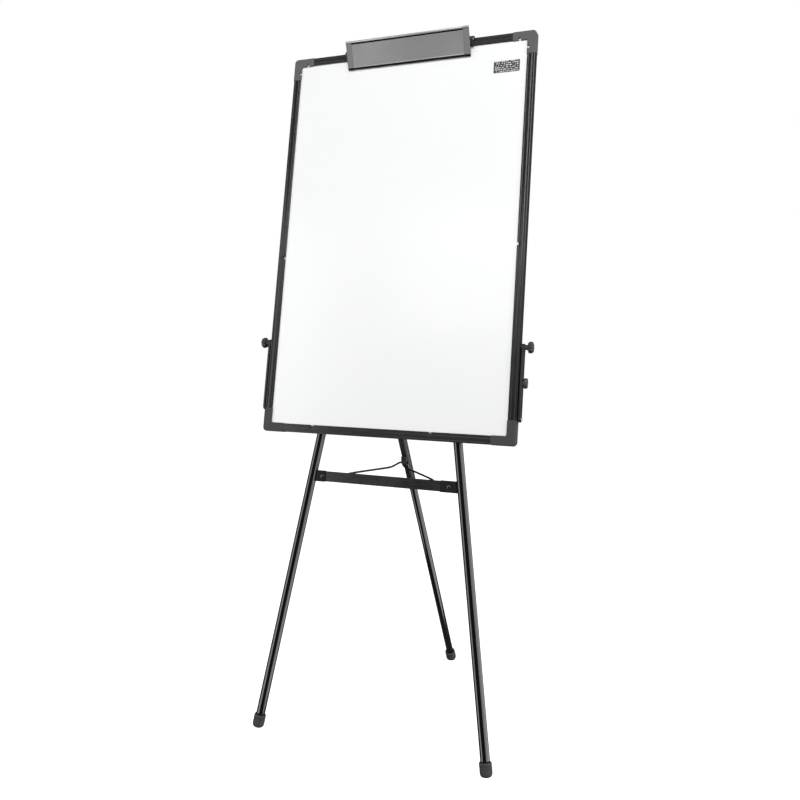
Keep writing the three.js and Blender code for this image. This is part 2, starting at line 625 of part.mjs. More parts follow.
const clampHalf = CLAMP_W / 2;
for (const [side, label] of [[-1, "left"], [1, "right"]]) {
  const [x0, x1] = side > 0 ? [clampHalf - CLAMP_END_W, clampHalf] : [-clampHalf, CLAMP_END_W - clampHalf];
  const face = polygon([
    [2.6, 0.6], [2.6, 64], [1.6, CLAMP_H + 0.4], [-1.6, CLAMP_H + 0.4], [-2.9, 63.6], [-2.9, 60.6],
    [-1.8, 59.4], [-1.8, 4.6], [-2.7, 3.4], [-2.7, 1], [-1.4, -0.3], [1.6, -0.3],
  ]);
  const eye = polygon([
    ...arc(rodInClamp.y, rodInClamp.z, 5, -0.5 * Math.PI, 0.5 * Math.PI, 8), [0, rodInClamp.z + 9],
    [0, rodInClamp.z - 9],
  ]);
  const eyeX = side > 0 ? [x0 + 4, x1] : [x0, x1 - 4];
  const bore = beam(disc(ROD_FIT, PIN_SIDES, rodInClamp.y, rodInClamp.z), x0 - 5, x1 + 5);
  const end = cut(union(beam(face, x0, x1, 0.6), beam(eye, ...eyeX)), bore);
  add(`clamp_end_${label}`, end.applyMatrix4(clampFrame), "clampEnd");

  const earIn = clampHalf + GAP;
  const earOut = earIn + EAR_T;
  const earX = side > 0 ? [earIn, earOut] : [-earOut, -earIn];
  const clampEar = polygon([
    [12, BOARD_H + GAP], [12, BOARD_H + 3.5], [1, BOARD_H + 5],
    ...arc(ROD_D, ROD_Z, 6.2, 0.6 * Math.PI, 1.35 * Math.PI, 8),
    [-CAP_PROUD - GAP, ROD_Z - 16], [-GAP, ROD_Z - 16], [-GAP, BOARD_H + GAP],
  ]);
  const clampFoot = polygon([
    [2, BOARD_H + GAP], [12, BOARD_H + GAP], [12, BOARD_H + 3.5], [2, BOARD_H + 3.5],
  ]);
  const footX = side > 0 ? [earX[0] - 24, earX[1]] : [earX[0], earX[1] + 24];
  const rodHole = beam(disc(ROD_FIT, PIN_SIDES, ROD_D, ROD_Z), earX[0] - 2, earX[1] + 2);
  const bracket = cut(union(beam(clampEar, ...earX), beam(clampFoot, ...footX)), rodHole);
  add(`clamp_bracket_${label}`, bracket.applyMatrix4(boardFrame), "plastic");
}

const rodHalf = clampHalf + GAP + EAR_T + 1.5;
const rodEnd = [[ROD_R, rodHalf - 0.6], [ROD_R - 0.6, rodHalf], [0, rodHalf]];
const rodStart = rodEnd.map(([r, x]) => [r, -x]).reverse();
const rod = alongX(turned([...rodStart, ...rodEnd], PIN_SIDES)).translate(0, ROD_D, ROD_Z);
add("clamp_rod", rod.applyMatrix4(boardFrame), "steel");

// torsion spring on the rod: a coil with one leg down to the rail and one to the plate
class CoilPath extends THREE.Curve {
  getPoint(t) {
    const pitch = 2 * SPRING_WIRE + 0.5;
    const turn = 2 * Math.PI * SPRING_TURNS * t;
    return new THREE.Vector3(
      pitch * SPRING_TURNS * (t - 0.5),
      ROD_D + SPRING_R * Math.cos(turn),
      ROD_Z + SPRING_R * Math.sin(turn),
    );
  }
}
const wireRound = disc(SPRING_WIRE, 6);
const coil = new THREE.ExtrudeGeometry(wireRound, {
  steps: 12 * SPRING_TURNS,
  extrudePath: new CoilPath(),
});
add("clamp_spring", coil.applyMatrix4(boardFrame), "steel");

// ---- side arms with their studs, knobs and end pins ----
const armEnd = ARM_X0 + ARM_T;

function lobedOutline(r, lobes, depth) {
  const points = [];
  const steps = lobes * 4;
  for (let i = 0; i < steps; i++) {
    const t = (2 * Math.PI * i) / steps;
    const radius = r - depth * (0.5 - 0.5 * Math.cos(lobes * t));
    points.push([radius * Math.cos(t), radius * Math.sin(t)]);
  }
  return points;
}

function mirrored(geometry, side) {
  return side > 0 ? geometry : geometry.rotateZ(Math.PI);
}

for (const [side, label] of [[-1, "left"], [1, "right"]]) {
  const at = (geometry, z) => mirrored(geometry, side).translate(0, ARM_D, z).applyMatrix4(boardFrame);

  const armShape = withHoles(
    polygon([
      ...arc(0, 0, ARM_W / 2 + 1, -0.15 * Math.PI, 1.15 * Math.PI, 12),
      [-ARM_W / 2, -14],
      ...arc(0, ARM_END - ARM_TOP, ARM_W / 2, Math.PI, 2 * Math.PI, 8),
      [ARM_W / 2, -14],
    ]),
    [
      [0, 0, STUD_R + GAP],
      [0, ARM_END - ARM_TOP, ARM_PIN_R + 0.2],
      [0, SMALL_KNOB_Z - ARM_TOP, STOP_STEM_R + 0.5],
    ],
  );
  add(`side_arm_${label}`, at(beam(armShape, ARM_X0, armEnd, 0.5), ARM_TOP), "matteTube");

  const studProfile = [[0, half + GAP], [7, half + GAP], [7, ARM_X0 - GAP], [STUD_R, ARM_X0 - GAP]];
  const studEnd = KNOB_TOP - 3.8;
  studProfile.push([STUD_R, studEnd - 0.8], [STUD_R - 0.8, studEnd], [0, studEnd]);
  add(`arm_stud_${label}`, at(alongX(turned(studProfile, 18)), ARM_TOP), "steel");

  const boreR = STUD_R + 0.1;
  const boreEnd = studEnd + 0.4;
  const knobNeck = turned([
    [boreR, armEnd + GAP], [KNOB_NECK_R + 1, armEnd + GAP], [KNOB_NECK_R, armEnd + 2],
    [KNOB_NECK_R, KNOB_HEAD + 1], [boreR, KNOB_HEAD + 1], [boreR, armEnd + GAP],
  ], PIN_SIDES);
  const knobHead = beam(polygon(lobedOutline(KNOB_R, 8, 1.9)), KNOB_HEAD, KNOB_TOP, 1.6);
  const knobBore = turned([[0, armEnd], [boreR, armEnd], [boreR, boreEnd], [0, boreEnd]], PIN_SIDES);
  const knob = cut(union(knobHead, alongX(knobNeck)), alongX(knobBore));
  add(`arm_knob_${label}`, at(knob, ARM_TOP), "knob");

  const endPin = turned([
    [0, ARM_X0 - 1.2], [ARM_PIN_R, ARM_X0 - 1.2], [ARM_PIN_R, armEnd + 1.6],
    [2.4, armEnd + 2.4], [0, armEnd + 2.4],
  ], HOLE_SIDES);
  add(`arm_pin_${label}`, at(alongX(endPin), ARM_END), "steel");
}

// an oval wing with a waist, on a stem through the arm
const wingRing = arc(0, 0, 1, 0, 2 * Math.PI * (15 / 16), 15);
const wing = polygon(wingRing.map(([c, s]) => [5.2 * c * (1 + 0.25 * s * s), 11 * s]));
const stopStem = turned([
  [0, ARM_X0 - 2.2], [STOP_STEM_R, ARM_X0 - 2.2], [STOP_STEM_R, armEnd + GAP],
  [4.6, armEnd + GAP], [4.6, armEnd + 3], [0, armEnd + 3],
], HOLE_SIDES);
const stopKnob = union(beam(wing, armEnd + 1.6, armEnd + 10, 1.2), alongX(stopStem));
add("stop_knob", stopKnob.translate(0, ARM_D, SMALL_KNOB_Z).applyMatrix4(boardFrame), "knob");

export default group;
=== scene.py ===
import math

import bmesh
import bpy
from mathutils import Matrix, Vector


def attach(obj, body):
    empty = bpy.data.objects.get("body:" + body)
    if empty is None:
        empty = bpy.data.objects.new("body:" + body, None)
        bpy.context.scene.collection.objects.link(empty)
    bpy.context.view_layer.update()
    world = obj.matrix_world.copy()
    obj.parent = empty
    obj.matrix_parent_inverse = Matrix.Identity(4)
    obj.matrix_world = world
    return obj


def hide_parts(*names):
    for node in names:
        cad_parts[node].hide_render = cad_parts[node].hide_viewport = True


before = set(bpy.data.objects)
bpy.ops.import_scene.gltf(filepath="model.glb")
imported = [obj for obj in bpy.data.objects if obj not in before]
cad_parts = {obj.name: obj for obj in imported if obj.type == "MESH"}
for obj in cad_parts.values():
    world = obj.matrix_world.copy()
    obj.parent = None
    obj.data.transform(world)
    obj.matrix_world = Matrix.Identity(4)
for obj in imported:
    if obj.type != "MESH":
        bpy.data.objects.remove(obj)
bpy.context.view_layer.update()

# ---------------------------------------------------------------- sizes, mm
MM = 0.001
RAD = math.pi / 180
LEAN = 9.7 * RAD
BOARD_FOOT = (0, -189, 654)
BOARD_W, BOARD_H = 600, 900
HALF = BOARD_W / 2
RAIL_FACE, RAIL_DEPTH, RAIL_END = 19, 16.5, 52.3
GROOVE_FRONT, GROOVE_BACK = 3.0, 13.2
CAP_ARM, CAP_PROUD = 52, 0.8
LEG_R, LEG_WALL, LEG_DEPTH, LEG_X0, LEG_SPLAY = 10, 1.2, 34.5, 165.1, 8.836 * RAD
LEG_TOP = 886
FIT = 0.3
PLUG_SEAT, PLUG_TOP = 9, 3
FOOT_R, FOOT_SOLE, FOOT_BALL, FOOT_LENGTH, FOOT_BORE = 13, 12, 10.6, 17, 11
FOOT_SQUARENESS = 3.2
GRIP_RINGS, GRIP_PITCH = 3, 3.0
BAR_RIVET_X = {"left": -154, "right": 151}
BAR_RIVET_D, BAR_RIVET_Z, BAR_RIVET_LENGTH = 30.5, -94, 6.9 + 0.6
HINGE_D, HINGE_Z, REAR_ANGLE = 45.1, 97.1, 37.9 * RAD
REAR_END, REAR_TOP, REAR_R = 254, 184, 8.75
UPPER_BORE, KNUCKLE_GAP = 9.1, 12
CLIP_AT, CLIP_OFF = 177, 14
WIRE_R, WIRE_COAT, WIRE_DROP, WIRE_LEAN, WIRE_TIP = 2, 0.3, 105.8, 66.2 * RAD, 126
WIRE_PATH = [
    (8, 0), (13, 5), (15.5, 17), (21, 31), (34, 40), (92, 74), (107, 86), (113, 99), (116, WIRE_DROP),
]
CLAMP_TILT, CLAMP_HALF, CLAMP_END, CLAMP_H = 23.8 * RAD, 152, 14, 64.5
CLAMP_D, CLAMP_Z = 0.6, 858
ROD_D, ROD_Z = -7, 894
SPRING_R, SPRING_WIRE, SPRING_TURNS, SPRING_GAP = 4.4, 0.7, 5, 0.5
ARM_D, ARM_TOP, STOP_Z = 9, 205, 130
ARM_END_X = 307.5
LABEL_X, LABEL_PRINT = 236, 53
MERGE, NEEDLE = 1e-4, 0.02

# ---------------------------------------------------------------- frames
shift = Matrix.Translation
turn = Matrix.Rotation
BOARD = shift(BOARD_FOOT) @ turn(-LEAN, 4, "X")
REAR = BOARD @ shift((0, HINGE_D, HINGE_Z)) @ turn(REAR_ANGLE, 4, "X")
CLAMP = BOARD @ shift((0, CLAMP_D, CLAMP_Z)) @ turn(CLAMP_TILT, 4, "X")
clip_d = HINGE_D + CLIP_AT * math.sin(REAR_ANGLE) - CLIP_OFF * math.cos(REAR_ANGLE)
clip_z = HINGE_Z - CLIP_AT * math.cos(REAR_ANGLE) - CLIP_OFF * math.sin(REAR_ANGLE)
BRACE = BOARD @ shift((0, clip_d, clip_z)) @ turn(-WIRE_LEAN, 4, "X")
INWARD = turn(-math.pi / 2, 4, "X")


def leg_frame(side):
    return BOARD @ shift((side * LEG_X0, LEG_DEPTH, 0)) @ turn(-side * LEG_SPLAY, 4, "Y")


# ---------------------------------------------------------------- materials
class Nodes:
    """A material's node tree with short ways to add and join nodes."""

    def __init__(self, name):
        self.material = bpy.data.materials.new(name)
        self.material.use_nodes = True
        self.tree = self.material.node_tree
        self.shader = self.tree.nodes["Principled BSDF"]
        self.where = self.tree.nodes.new("ShaderNodeTexCoord").outputs["Object"]

    def add(self, kind, inputs=None, **settings):
        node = self.tree.nodes.new(kind)
        for key, value in settings.items():
            setattr(node, key, value)
        for key, value in (inputs or {}).items():
            self.put(node.inputs[key], value)
        return node

    def put(self, socket, value):
        if isinstance(value, bpy.types.NodeSocket):
            self.tree.links.new(value, socket)
        else:
            socket.default_value = value

    def stretched(self, scale, tilt=(0, 0, 0)):
        inputs = {"Vector": self.where, "Scale": scale, "Rotation": tilt}
        return self.add("ShaderNodeMapping", inputs).outputs["Vector"]

    def noise(self, vector, scale, detail=3.0, rough=0.55):
        inputs = {"Vector": vector, "Scale": scale, "Detail": detail, "Roughness": rough}
        return self.add("ShaderNodeTexNoise", inputs).outputs["Fac"]

    def ranged(self, value, a, b, low, high):
        inputs = {"Value": value, "From Min": a, "From Max": b, "To Min": low, "To Max": high}
        return self.add("ShaderNodeMapRange", inputs).outputs["Result"]

    def mixed(self, factor, a, b):
        node = self.add("ShaderNodeMix", data_type="RGBA")
        self.put(node.inputs["Factor"], factor)
        self.put(node.inputs[6], a)
        self.put(node.inputs[7], b)
        return node.outputs[2]

    def math(self, kind, a, b=0.0):
        node = self.add("ShaderNodeMath", operation=kind)
        self.put(node.inputs[0], a)
        self.put(node.inputs[1], b)
        return node.outputs[0]

    def bump(self, height, strength, distance, normal=None):
        inputs = {"Height": height, "Strength": strength, "Distance": distance}
        node = self.add("ShaderNodeBump", inputs)
        if normal is not None:
            self.put(node.inputs["Normal"], normal)
        return node.outputs["Normal"]

    def edges(self, radius):
        """1 along sharp edges, 0 on flat faces."""
        soft = self.add("ShaderNodeBevel", {"Radius": radius}, samples=4).outputs["Normal"]
        hard = self.add("ShaderNodeNewGeometry").outputs["Normal"]
        node = self.add("ShaderNodeVectorMath", operation="DOT_PRODUCT")
        self.put(node.inputs[0], soft)
        self.put(node.inputs[1], hard)
        return self.ranged(node.outputs["Value"], 0.99, 0.86, 0.0, 1.0)


def grey(level, warm=0.0):
    return (level * (1 + warm), level, level * (1 - warm), 1)


def surface(name, dark, light, rough, metal=0.0, grain=900.0, stretch=(1, 1, 1), bump=0.1,
            relief=0.0001, wear=None, edge=0.0006, coat=0.0, coat_rough=0.1, specular=0.5,
            smudge=0.06, tilt=(0, 0, 0)):
    """A painted, moulded or bare surface.

    Fine grain in colour and bump, broad smudges in the gloss and, where wear is given, worn edges.
    """
    n = Nodes(name)
    fine = n.noise(n.stretched(stretch, tilt), grain)
    broad = n.noise(n.where, 14.0, 4.0)
    colour = n.mixed(n.ranged(fine, 0.3, 0.7, 0.0, 1.0), dark, light)
    low, high = rough
    gloss = n.math("ADD", n.ranged(fine, 0.3, 0.7, low, high),
                   n.ranged(broad, 0.35, 0.7, -smudge, smudge))
    if wear is not None:
        patches = n.ranged(n.noise(n.where, 160.0, 4.0), 0.4, 0.65, 0.15, 1.0)
        mask = n.math("MULTIPLY", n.edges(edge), patches)
        colour = n.mixed(mask, colour, wear)
    n.put(n.shader.inputs["Base Color"], colour)
    n.put(n.shader.inputs["Roughness"], n.math("MAXIMUM", gloss, 0.03))
    n.put(n.shader.inputs["Normal"], n.bump(fine, bump, relief))
    n.shader.inputs["Metallic"].default_value = metal
    n.shader.inputs["Coat Weight"].default_value = coat
    n.shader.inputs["Coat Roughness"].default_value = coat_rough
    n.shader.inputs["Specular IOR Level"].default_value = specular
    return n.material


ALONG = {"x": (0.02, 1, 1), "z": (1, 1, 0.02)}
TO_BOARD = (LEAN, 0, 0)


def sheet_material():
    """White lacquered steel, wiped many times: fine hairlines and faint ghosting in the gloss only."""
    n = Nodes("dry_wipe_white")
    wipes = n.noise(n.stretched((3, 1, 30), (0.0, 0.5, 0.0)), 9.0, 5.0)
    ghost = n.noise(n.where, 3.2, 5.0)
    tone = n.mixed(n.ranged(ghost, 0.35, 0.7, 0.0, 1.0),
                   (0.885, 0.89, 0.892, 1), (0.895, 0.9, 0.9, 1))
    n.put(n.shader.inputs["Base Color"], tone)
    n.put(n.shader.inputs["Roughness"], n.math("ADD", n.ranged(wipes, 0.3, 0.7, 0.3, 0.34),
                                               n.ranged(ghost, 0.4, 0.7, 0.0, 0.05)))
    peel = n.noise(n.where, 260.0, 2.0)
    n.put(n.shader.inputs["Normal"], n.bump(peel, 0.05, 0.00005))
    n.shader.inputs["Coat Weight"].default_value = 0.25
    n.shader.inputs["Coat Roughness"].default_value = 0.12
    return n.material


def label_material():
    """Grey foil sticker with rows of unreadable pale print."""
    n = Nodes("sticker")
    place = n.stretched((1, 1, 1), TO_BOARD)
    split = n.add("ShaderNodeSeparateXYZ", {"Vector": place})
    rows = n.math("FRACT", n.math("MULTIPLY", split.outputs["Z"], 215.0))
    in_row = n.math("GREATER_THAN", rows, 0.55)
    words = n.noise(n.stretched((420, 1, 260), TO_BOARD), 1.0, 0.0)
    in_word = n.math("GREATER_THAN", words, 0.47)
    aside = n.math("ABSOLUTE", n.math("SUBTRACT", split.outputs["X"], LABEL_X * MM))
    inside = n.math("LESS_THAN", aside, LABEL_PRINT / 2 * MM)
    ink = n.math("MULTIPLY", n.math("MULTIPLY", in_row, in_word), inside)
    speck = n.noise(n.where, 1500.0)
    back = n.mixed(speck, grey(0.025), grey(0.05))
    n.put(n.shader.inputs["Base Color"], n.mixed(n.math("MULTIPLY", ink, 0.9), back, grey(0.75)))
    n.put(n.shader.inputs["Roughness"], n.ranged(speck, 0.3, 0.7, 0.35, 0.5))
    n.put(n.shader.inputs["Normal"], n.bump(ink, 0.1, 0.00003))
    return n.material


LOOKS = {
    "sheet": sheet_material(),
    "label": label_material(),
    "core": surface("fibreboard", (0.34, 0.24, 0.14, 1), (0.5, 0.37, 0.23, 1), (0.8, 0.95),
                    grain=700.0, bump=0.5),
    "back_sheet": surface("zinc_sheet", grey(0.36), grey(0.42), (0.42, 0.5), 0.6, grain=160.0,
                          bump=0.03),
    # the top and bottom rails get a lighter copy of the side rails' finish: painted light, for the way the
    # light falls on them
    "rail_x": surface("rail_across_painted_light", grey(0.018), grey(0.036), (0.14, 0.22), 0.0, 1500.0,
                      ALONG["x"], 0.25, 0.00006, wear=grey(0.2), specular=0.3),
    "rail_z": surface("rail_up", grey(0.01), grey(0.024), (0.14, 0.22), 0.0, 1500.0,
                      ALONG["z"], 0.25, 0.00006, wear=grey(0.2), specular=0.3, tilt=TO_BOARD),
    # near-black, dull finish for the side rails' outer flank: painted shade where the flank lies in shadow;
    # the crossbar's brackets use it too
    "rail_side": surface("rail_flank", grey(0.003), grey(0.007), (0.5, 0.65), grain=900.0,
                         bump=0.2, specular=0.2),
    "cap_grey": surface("cap_upper", grey(0.065), grey(0.125), (0.62, 0.8), grain=1100.0,
                        bump=0.7, relief=0.00016, wear=grey(0.26)),
    "cap_dark": surface("cap_lower", grey(0.022), grey(0.05), (0.6, 0.8), grain=1100.0,
                        bump=0.7, relief=0.00016, wear=grey(0.16)),
    "steel": surface("zinc_plated", grey(0.5, 0.02), grey(0.7, 0.03), (0.16, 0.32), 1.0,
                     grain=500.0, bump=0.12),
    "bare_lip": surface("scraped_lip", grey(0.4), grey(0.6), (0.3, 0.5), 0.5, 700.0, bump=0.3),
    "enamel": surface("gloss_black", grey(0.001), grey(0.003), (0.14, 0.2), 0.0, 420.0, bump=0.1,
                      relief=0.00004, coat=0.6, coat_rough=0.1, smudge=0.04),
    "matte_black": surface("powder_black", grey(0.02), grey(0.034), (0.42, 0.56), 0.1, 1300.0,
                           bump=0.35, relief=0.00008, wear=grey(0.15)),
    "arm_black": surface("arm_paint", grey(0.004), grey(0.01), (0.3, 0.42), grain=1000.0,
                         bump=0.25, relief=0.00006, wear=grey(0.12)),
    "black_plastic": surface("moulded_black", grey(0.012), grey(0.026), (0.45, 0.62),
                             grain=1400.0, bump=0.3, relief=0.00008, wear=grey(0.1)),
    "rubber": surface("foot_rubber", grey(0.028), grey(0.05), (0.66, 0.85), grain=1300.0,
                      bump=0.5, relief=0.0001, wear=grey(0.14)),
    "bar": surface("bar_paint", grey(0.012), grey(0.024), (0.26, 0.36), 0.15, 1000.0,
                   (0.05, 1, 1), 0.3, 0.00008, wear=grey(0.2)),
    "wire": surface("wire_black", grey(0.003), grey(0.009), (0.24, 0.38), 0.4, 700.0, bump=0.2,
                    relief=0.00005),
    "clamp_face": surface("clamp_satin", grey(0.2), grey(0.25), (0.38, 0.48), 0.2, 1900.0,
                          ALONG["x"], 0.2, 0.00005, wear=grey(0.55), smudge=0.08),
    # near-black finish for the clamp's edge bands: painted shade in the groove under the top bead and along
    # the bottom edge
    "clamp_shade_black": surface("clamp_strip_painted_shade", grey(0.002), grey(0.005), (0.5, 0.65), grain=900.0,
                           bump=0.2, specular=0.15),
    # light grey, part-metal finish for the clamp's bead lines: a painted highlight
    "clamp_bead_highlight": surface("clamp_edge_painted_highlight", grey(0.4), grey(0.5), (0.3, 0.4), 0.4, 1900.0,
                          ALONG["x"], 0.2, 0.00005),
    "clamp_end": surface("clamp_cap", grey(0.14), grey(0.21), (0.6, 0.78), grain=1200.0,
                         bump=0.7, relief=0.00016, wear=grey(0.3)),
    "knob": surface("knob_plastic", grey(0.014), grey(0.036), (0.3, 0.46), grain=900.0,
                    bump=0.6, relief=0.00012, wear=grey(0.22)),
}


# ---------------------------------------------------------------- mesh tools
def settle(piece, look, body, nodes):
    """Gives a finished piece its material and body, and lets it stand for its CAD nodes."""
    piece.data.materials.clear()
    piece.data.materials.append(LOOKS[look])
    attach(piece, body)
    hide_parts(*nodes)
    return piece


def new_object(name, mesh):
    piece = bpy.data.objects.new(name, mesh)
    bpy.context.scene.collection.objects.link(piece)
    return piece


def smoothed(mesh, sharp):
    """Shades a mesh smooth, but for edges that turn by more than this many degrees."""
    for polygon in mesh.polygons:
        polygon.use_smooth = True
    mesh.set_sharp_from_angle(angle=sharp * RAD)
    return mesh


def piece_from(bm, name, matrix, sharp=38):
    """An object made of a closed shape in mm, set in place, with its faces turned outward."""
    bmesh.ops.remove_doubles(bm, verts=bm.verts, dist=MERGE)
    bm.transform(Matrix.Scale(MM, 4) @ matrix)
    bmesh.ops.recalc_face_normals(bm, faces=bm.faces)
    if bm.calc_volume(signed=True) < 0:
        bmesh.ops.reverse_faces(bm, faces=bm.faces)
    mesh = bpy.data.meshes.new(name)
    bm.to_mesh(mesh)
    bm.free()
    return new_object(name, smoothed(mesh, sharp))


def loft(rings, closed=False, cap=True):
    """A skin over rings of points, each with the same count; capped at both ends or joined end to end."""
    bm = bmesh.new()
    rows = [[bm.verts.new(p) for p in ring] for ring in rings]
    count = len(rows[0])
    pairs = list(zip(rows, rows[1:])) + ([(rows[-1], rows[0])] if closed else [])
    for low, high in pairs:
        for i in range(count):
            j = (i + 1) % count
            bm.faces.new((low[i], low[j], high[j], high[i]))
    if cap and not closed:
        bm.faces.new(list(reversed(rows[0])))
        bm.faces.new(rows[-1])
    return bm


def lathe(profile, segments=64):
    """Turned about z. A profile that comes back to its start makes a ring; else both ends lie on the axis."""
    closed = profile[0] == profile[-1]
    points = profile[:-1] if closed else profile
    rings = [
        [(max(r, NEEDLE) * math.cos(a), max(r, NEEDLE) * math.sin(a), z)
         for a in (2 * math.pi * k / segments for k in range(segments))]
        for r, z in points
    ]
    return loft(rings, closed)


def rounded(points, radius, steps=3):
    """The outline with each corner turned into a short arc."""
    out = []
    count = len(points)
    for i in range(count):
        a, b, c = (Vector(points[(i + k) % count]) for k in (-1, 0, 1))
        u, v = (a - b), (c - b)
        reach = min(radius, 0.45 * u.length, 0.45 * v.length)
        p, q = b + u.normalized() * reach, b + v.normalized() * reach
        for k in range(steps + 1):
            t = k / steps
            out.append(tuple((1 - t) ** 2 * p + 2 * t * (1 - t) * b + t * t * q))
    return out


def inset(outline, by):
    """Each point moved inward along its own normal."""
    area = sum(a[0] * b[1] - b[0] * a[1] for a, b in zip(outline, outline[1:] + outline[:1]))
    side = 1 if area > 0 else -1
    out = []
    for i, p in enumerate(outline):
        a, b = Vector(outline[i - 1]), Vector(outline[(i + 1) % len(outline)])
        along = (b - a).normalized()
        out.append((p[0] - side * by * along.y, p[1] + side * by * along.x))
    return out


def beam(outline, start, stop, edge):
    """An outline of (depth, height) extruded along x, with softened rims."""
    stations = [(start, edge), (start + 0.3 * edge, 0.35 * edge), (start + edge, 0),
                (stop - edge, 0), (stop - 0.3 * edge, 0.35 * edge), (stop, edge)]
    return loft([[(x, d, z) for d, z in (inset(outline, by) if by else outline)]
                 for x, by in stations])


def swept(points, radius, sides=16):
    """A round bar along a path, with a ring at each point and domed ends."""
    path = [Vector(p) for p in points]
    first = (path[0] - path[1]).normalized()
    last = (path[-1] - path[-2]).normalized()
    spine = [(path[0] + first * radius * 0.5, 0.5), (path[0] + first * radius * 0.3, 0.86)]
    spine += [(p, 1.0) for p in path]
    spine += [(path[-1] + last * radius * 0.3, 0.86), (path[-1] + last * radius * 0.5, 0.5)]
    side = Vector((0.13, 0.97, 0.21))
    rings = []
    for i, (p, size) in enumerate(spine):
        before = spine[max(i - 1, 0)][0]
        after = spine[min(i + 1, len(spine) - 1)][0]
        along = (after - before).normalized()
        side = (side - along * side.dot(along)).normalized()
        other = along.cross(side)
        rings.append([p + radius * size * (side * math.cos(a) + other * math.sin(a))
                      for a in (2 * math.pi * k / sides for k in range(sides))])
    return loft(rings)


def eased(points, rounds=3):
    """Corners cut again and again, so that a bent line becomes a smooth one between the same ends."""
    line = [Vector(p) for p in points]
    for _ in range(rounds):
        cut = [line[0]]
        for a, b in zip(line, line[1:]):
            cut += [a.lerp(b, 0.25), a.lerp(b, 0.75)]
        line = cut + [line[-1]]
    return line


def carve(piece, bm, matrix):
    """Cuts a shape out of a piece."""
    tool = piece_from(bm, "tool", matrix)
    modifier = piece.modifiers.new("cut", "BOOLEAN")
    modifier.operation, modifier.solver, modifier.object = "DIFFERENCE", "EXACT", tool
    bpy.context.view_layer.update()
    graph = bpy.context.evaluated_depsgraph_get()
    mesh = bpy.data.meshes.new_from_object(piece.evaluated_get(graph))
    piece.modifiers.clear()
    piece.data = mesh
    bpy.data.objects.remove(tool)
    mesh.set_sharp_from_angle(angle=38 * RAD)
    return piece


def refined(node, look, body, soften=0.35, sharp=32):
    """A CAD node's own shape with its hard edges rounded over by so many mm."""
    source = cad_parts[node]
    bm = bmesh.new()
    bm.from_mesh(source.data)
    bmesh.ops.remove_doubles(bm, verts=bm.verts, dist=2e-6)
    bmesh.ops.dissolve_limit(bm, angle_limit=1.5 * RAD, verts=bm.verts, edges=bm.edges)
    hard = [e for e in bm.edges if len(e.link_faces) == 2 and e.calc_face_angle(0) > sharp * RAD]
    bmesh.ops.bevel(bm, geom=hard, offset=soften * MM, offset_type="OFFSET", segments=2,
                    profile=0.6, affect="EDGES", clamp_overlap=True)
    mesh = bpy.data.meshes.new(f"{node}_shown")
    bm.to_mesh(mesh)
    bm.free()
    piece = new_object(mesh.name, smoothed(mesh, 40))
    level = piece.modifiers.new("even", "WEIGHTED_NORMAL")
    level.keep_sharp = True
    return settle(piece, look, body, [node])


def paint(node, look):
    """A CAD node that stays as it is, with its finish."""
    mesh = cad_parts[node].data
    mesh.materials.clear()
    mesh.materials.append(LOOKS[look])


# ---------------------------------------------------------------- board
paint("writing_sheet", "sheet")
paint("board_core", "core")
paint("back_sheet", "back_sheet")
paint("label_sticker", "label")

# the rails' section as (in from the outside of the frame, depth): bands between two grooves
RAIL_SECTION = [
    (0, 1.6), (0.5, 0.55), (1.6, 0.05), (3.2, 0), (4.7, 0.25), (5.1, 0.95), (5.7, 0.95),
    (6.1, 0.3), (7.6, 0.05), (9.8, 0), (12.0, 0.05), (13.4, 0.3), (13.8, 0.95), (14.4, 0.95),
    (14.8, 0.3), (15.8, 0), (17.4, 0.1), (18.6, 0.7), (RAIL_FACE, 1.6),
    (RAIL_FACE, GROOVE_FRONT), (3, GROOVE_FRONT), (3, GROOVE_BACK), (15, GROOVE_BACK),
    (15, RAIL_DEPTH), (1.2, RAIL_DEPTH), (0, RAIL_DEPTH - 1.2),
]
rail_line = rounded(RAIL_SECTION, 0.45, 2)
CRIMP_DEPTH, CRIMP_PULL, CRIMP_REACH = 1.0, 2.2, 4.2
LIP_FROM, LIP_HALF, LIP_DEPTH, FLANK_TO = 16.2, 3.0, 2.2, 0.7
# each rail: the way it runs, where a point of its section lies, and where it is crimped
RAILS = {
    "rail_bottom": ("x", lambda a, d, s: (s, d, a), (-173, 112.5)),
    "rail_top": ("x", lambda a, d, s: (s, d, BOARD_H - a), ()),
    "rail_left": ("z", lambda a, d, s: (a - HALF, d, s), (406,)),
    "rail_right": ("z", lambda a, d, s: (HALF - a, d, s), (425,)),
}
RUN = {"x": (RAIL_END - HALF, HALF - RAIL_END), "z": (RAIL_END, BOARD_H - RAIL_END)}


def smooth(x, low, high):
    t = min(1.0, max(0.0, (x - low) / (high - low)))
    return t * t * (3 - 2 * t)


def crimped(a, d, s, crimps):
    """A point of the section where the rail's inner lip has been punched down on to the panel."""
    if d > 1.5:
        return a, d
    press = sum(math.exp(-(((s - c) / CRIMP_REACH) ** 2)) for c in crimps)
    return (a - CRIMP_PULL * press * smooth(a, 14.5, 19),
            d + CRIMP_DEPTH * press * smooth(a, 7, 17))


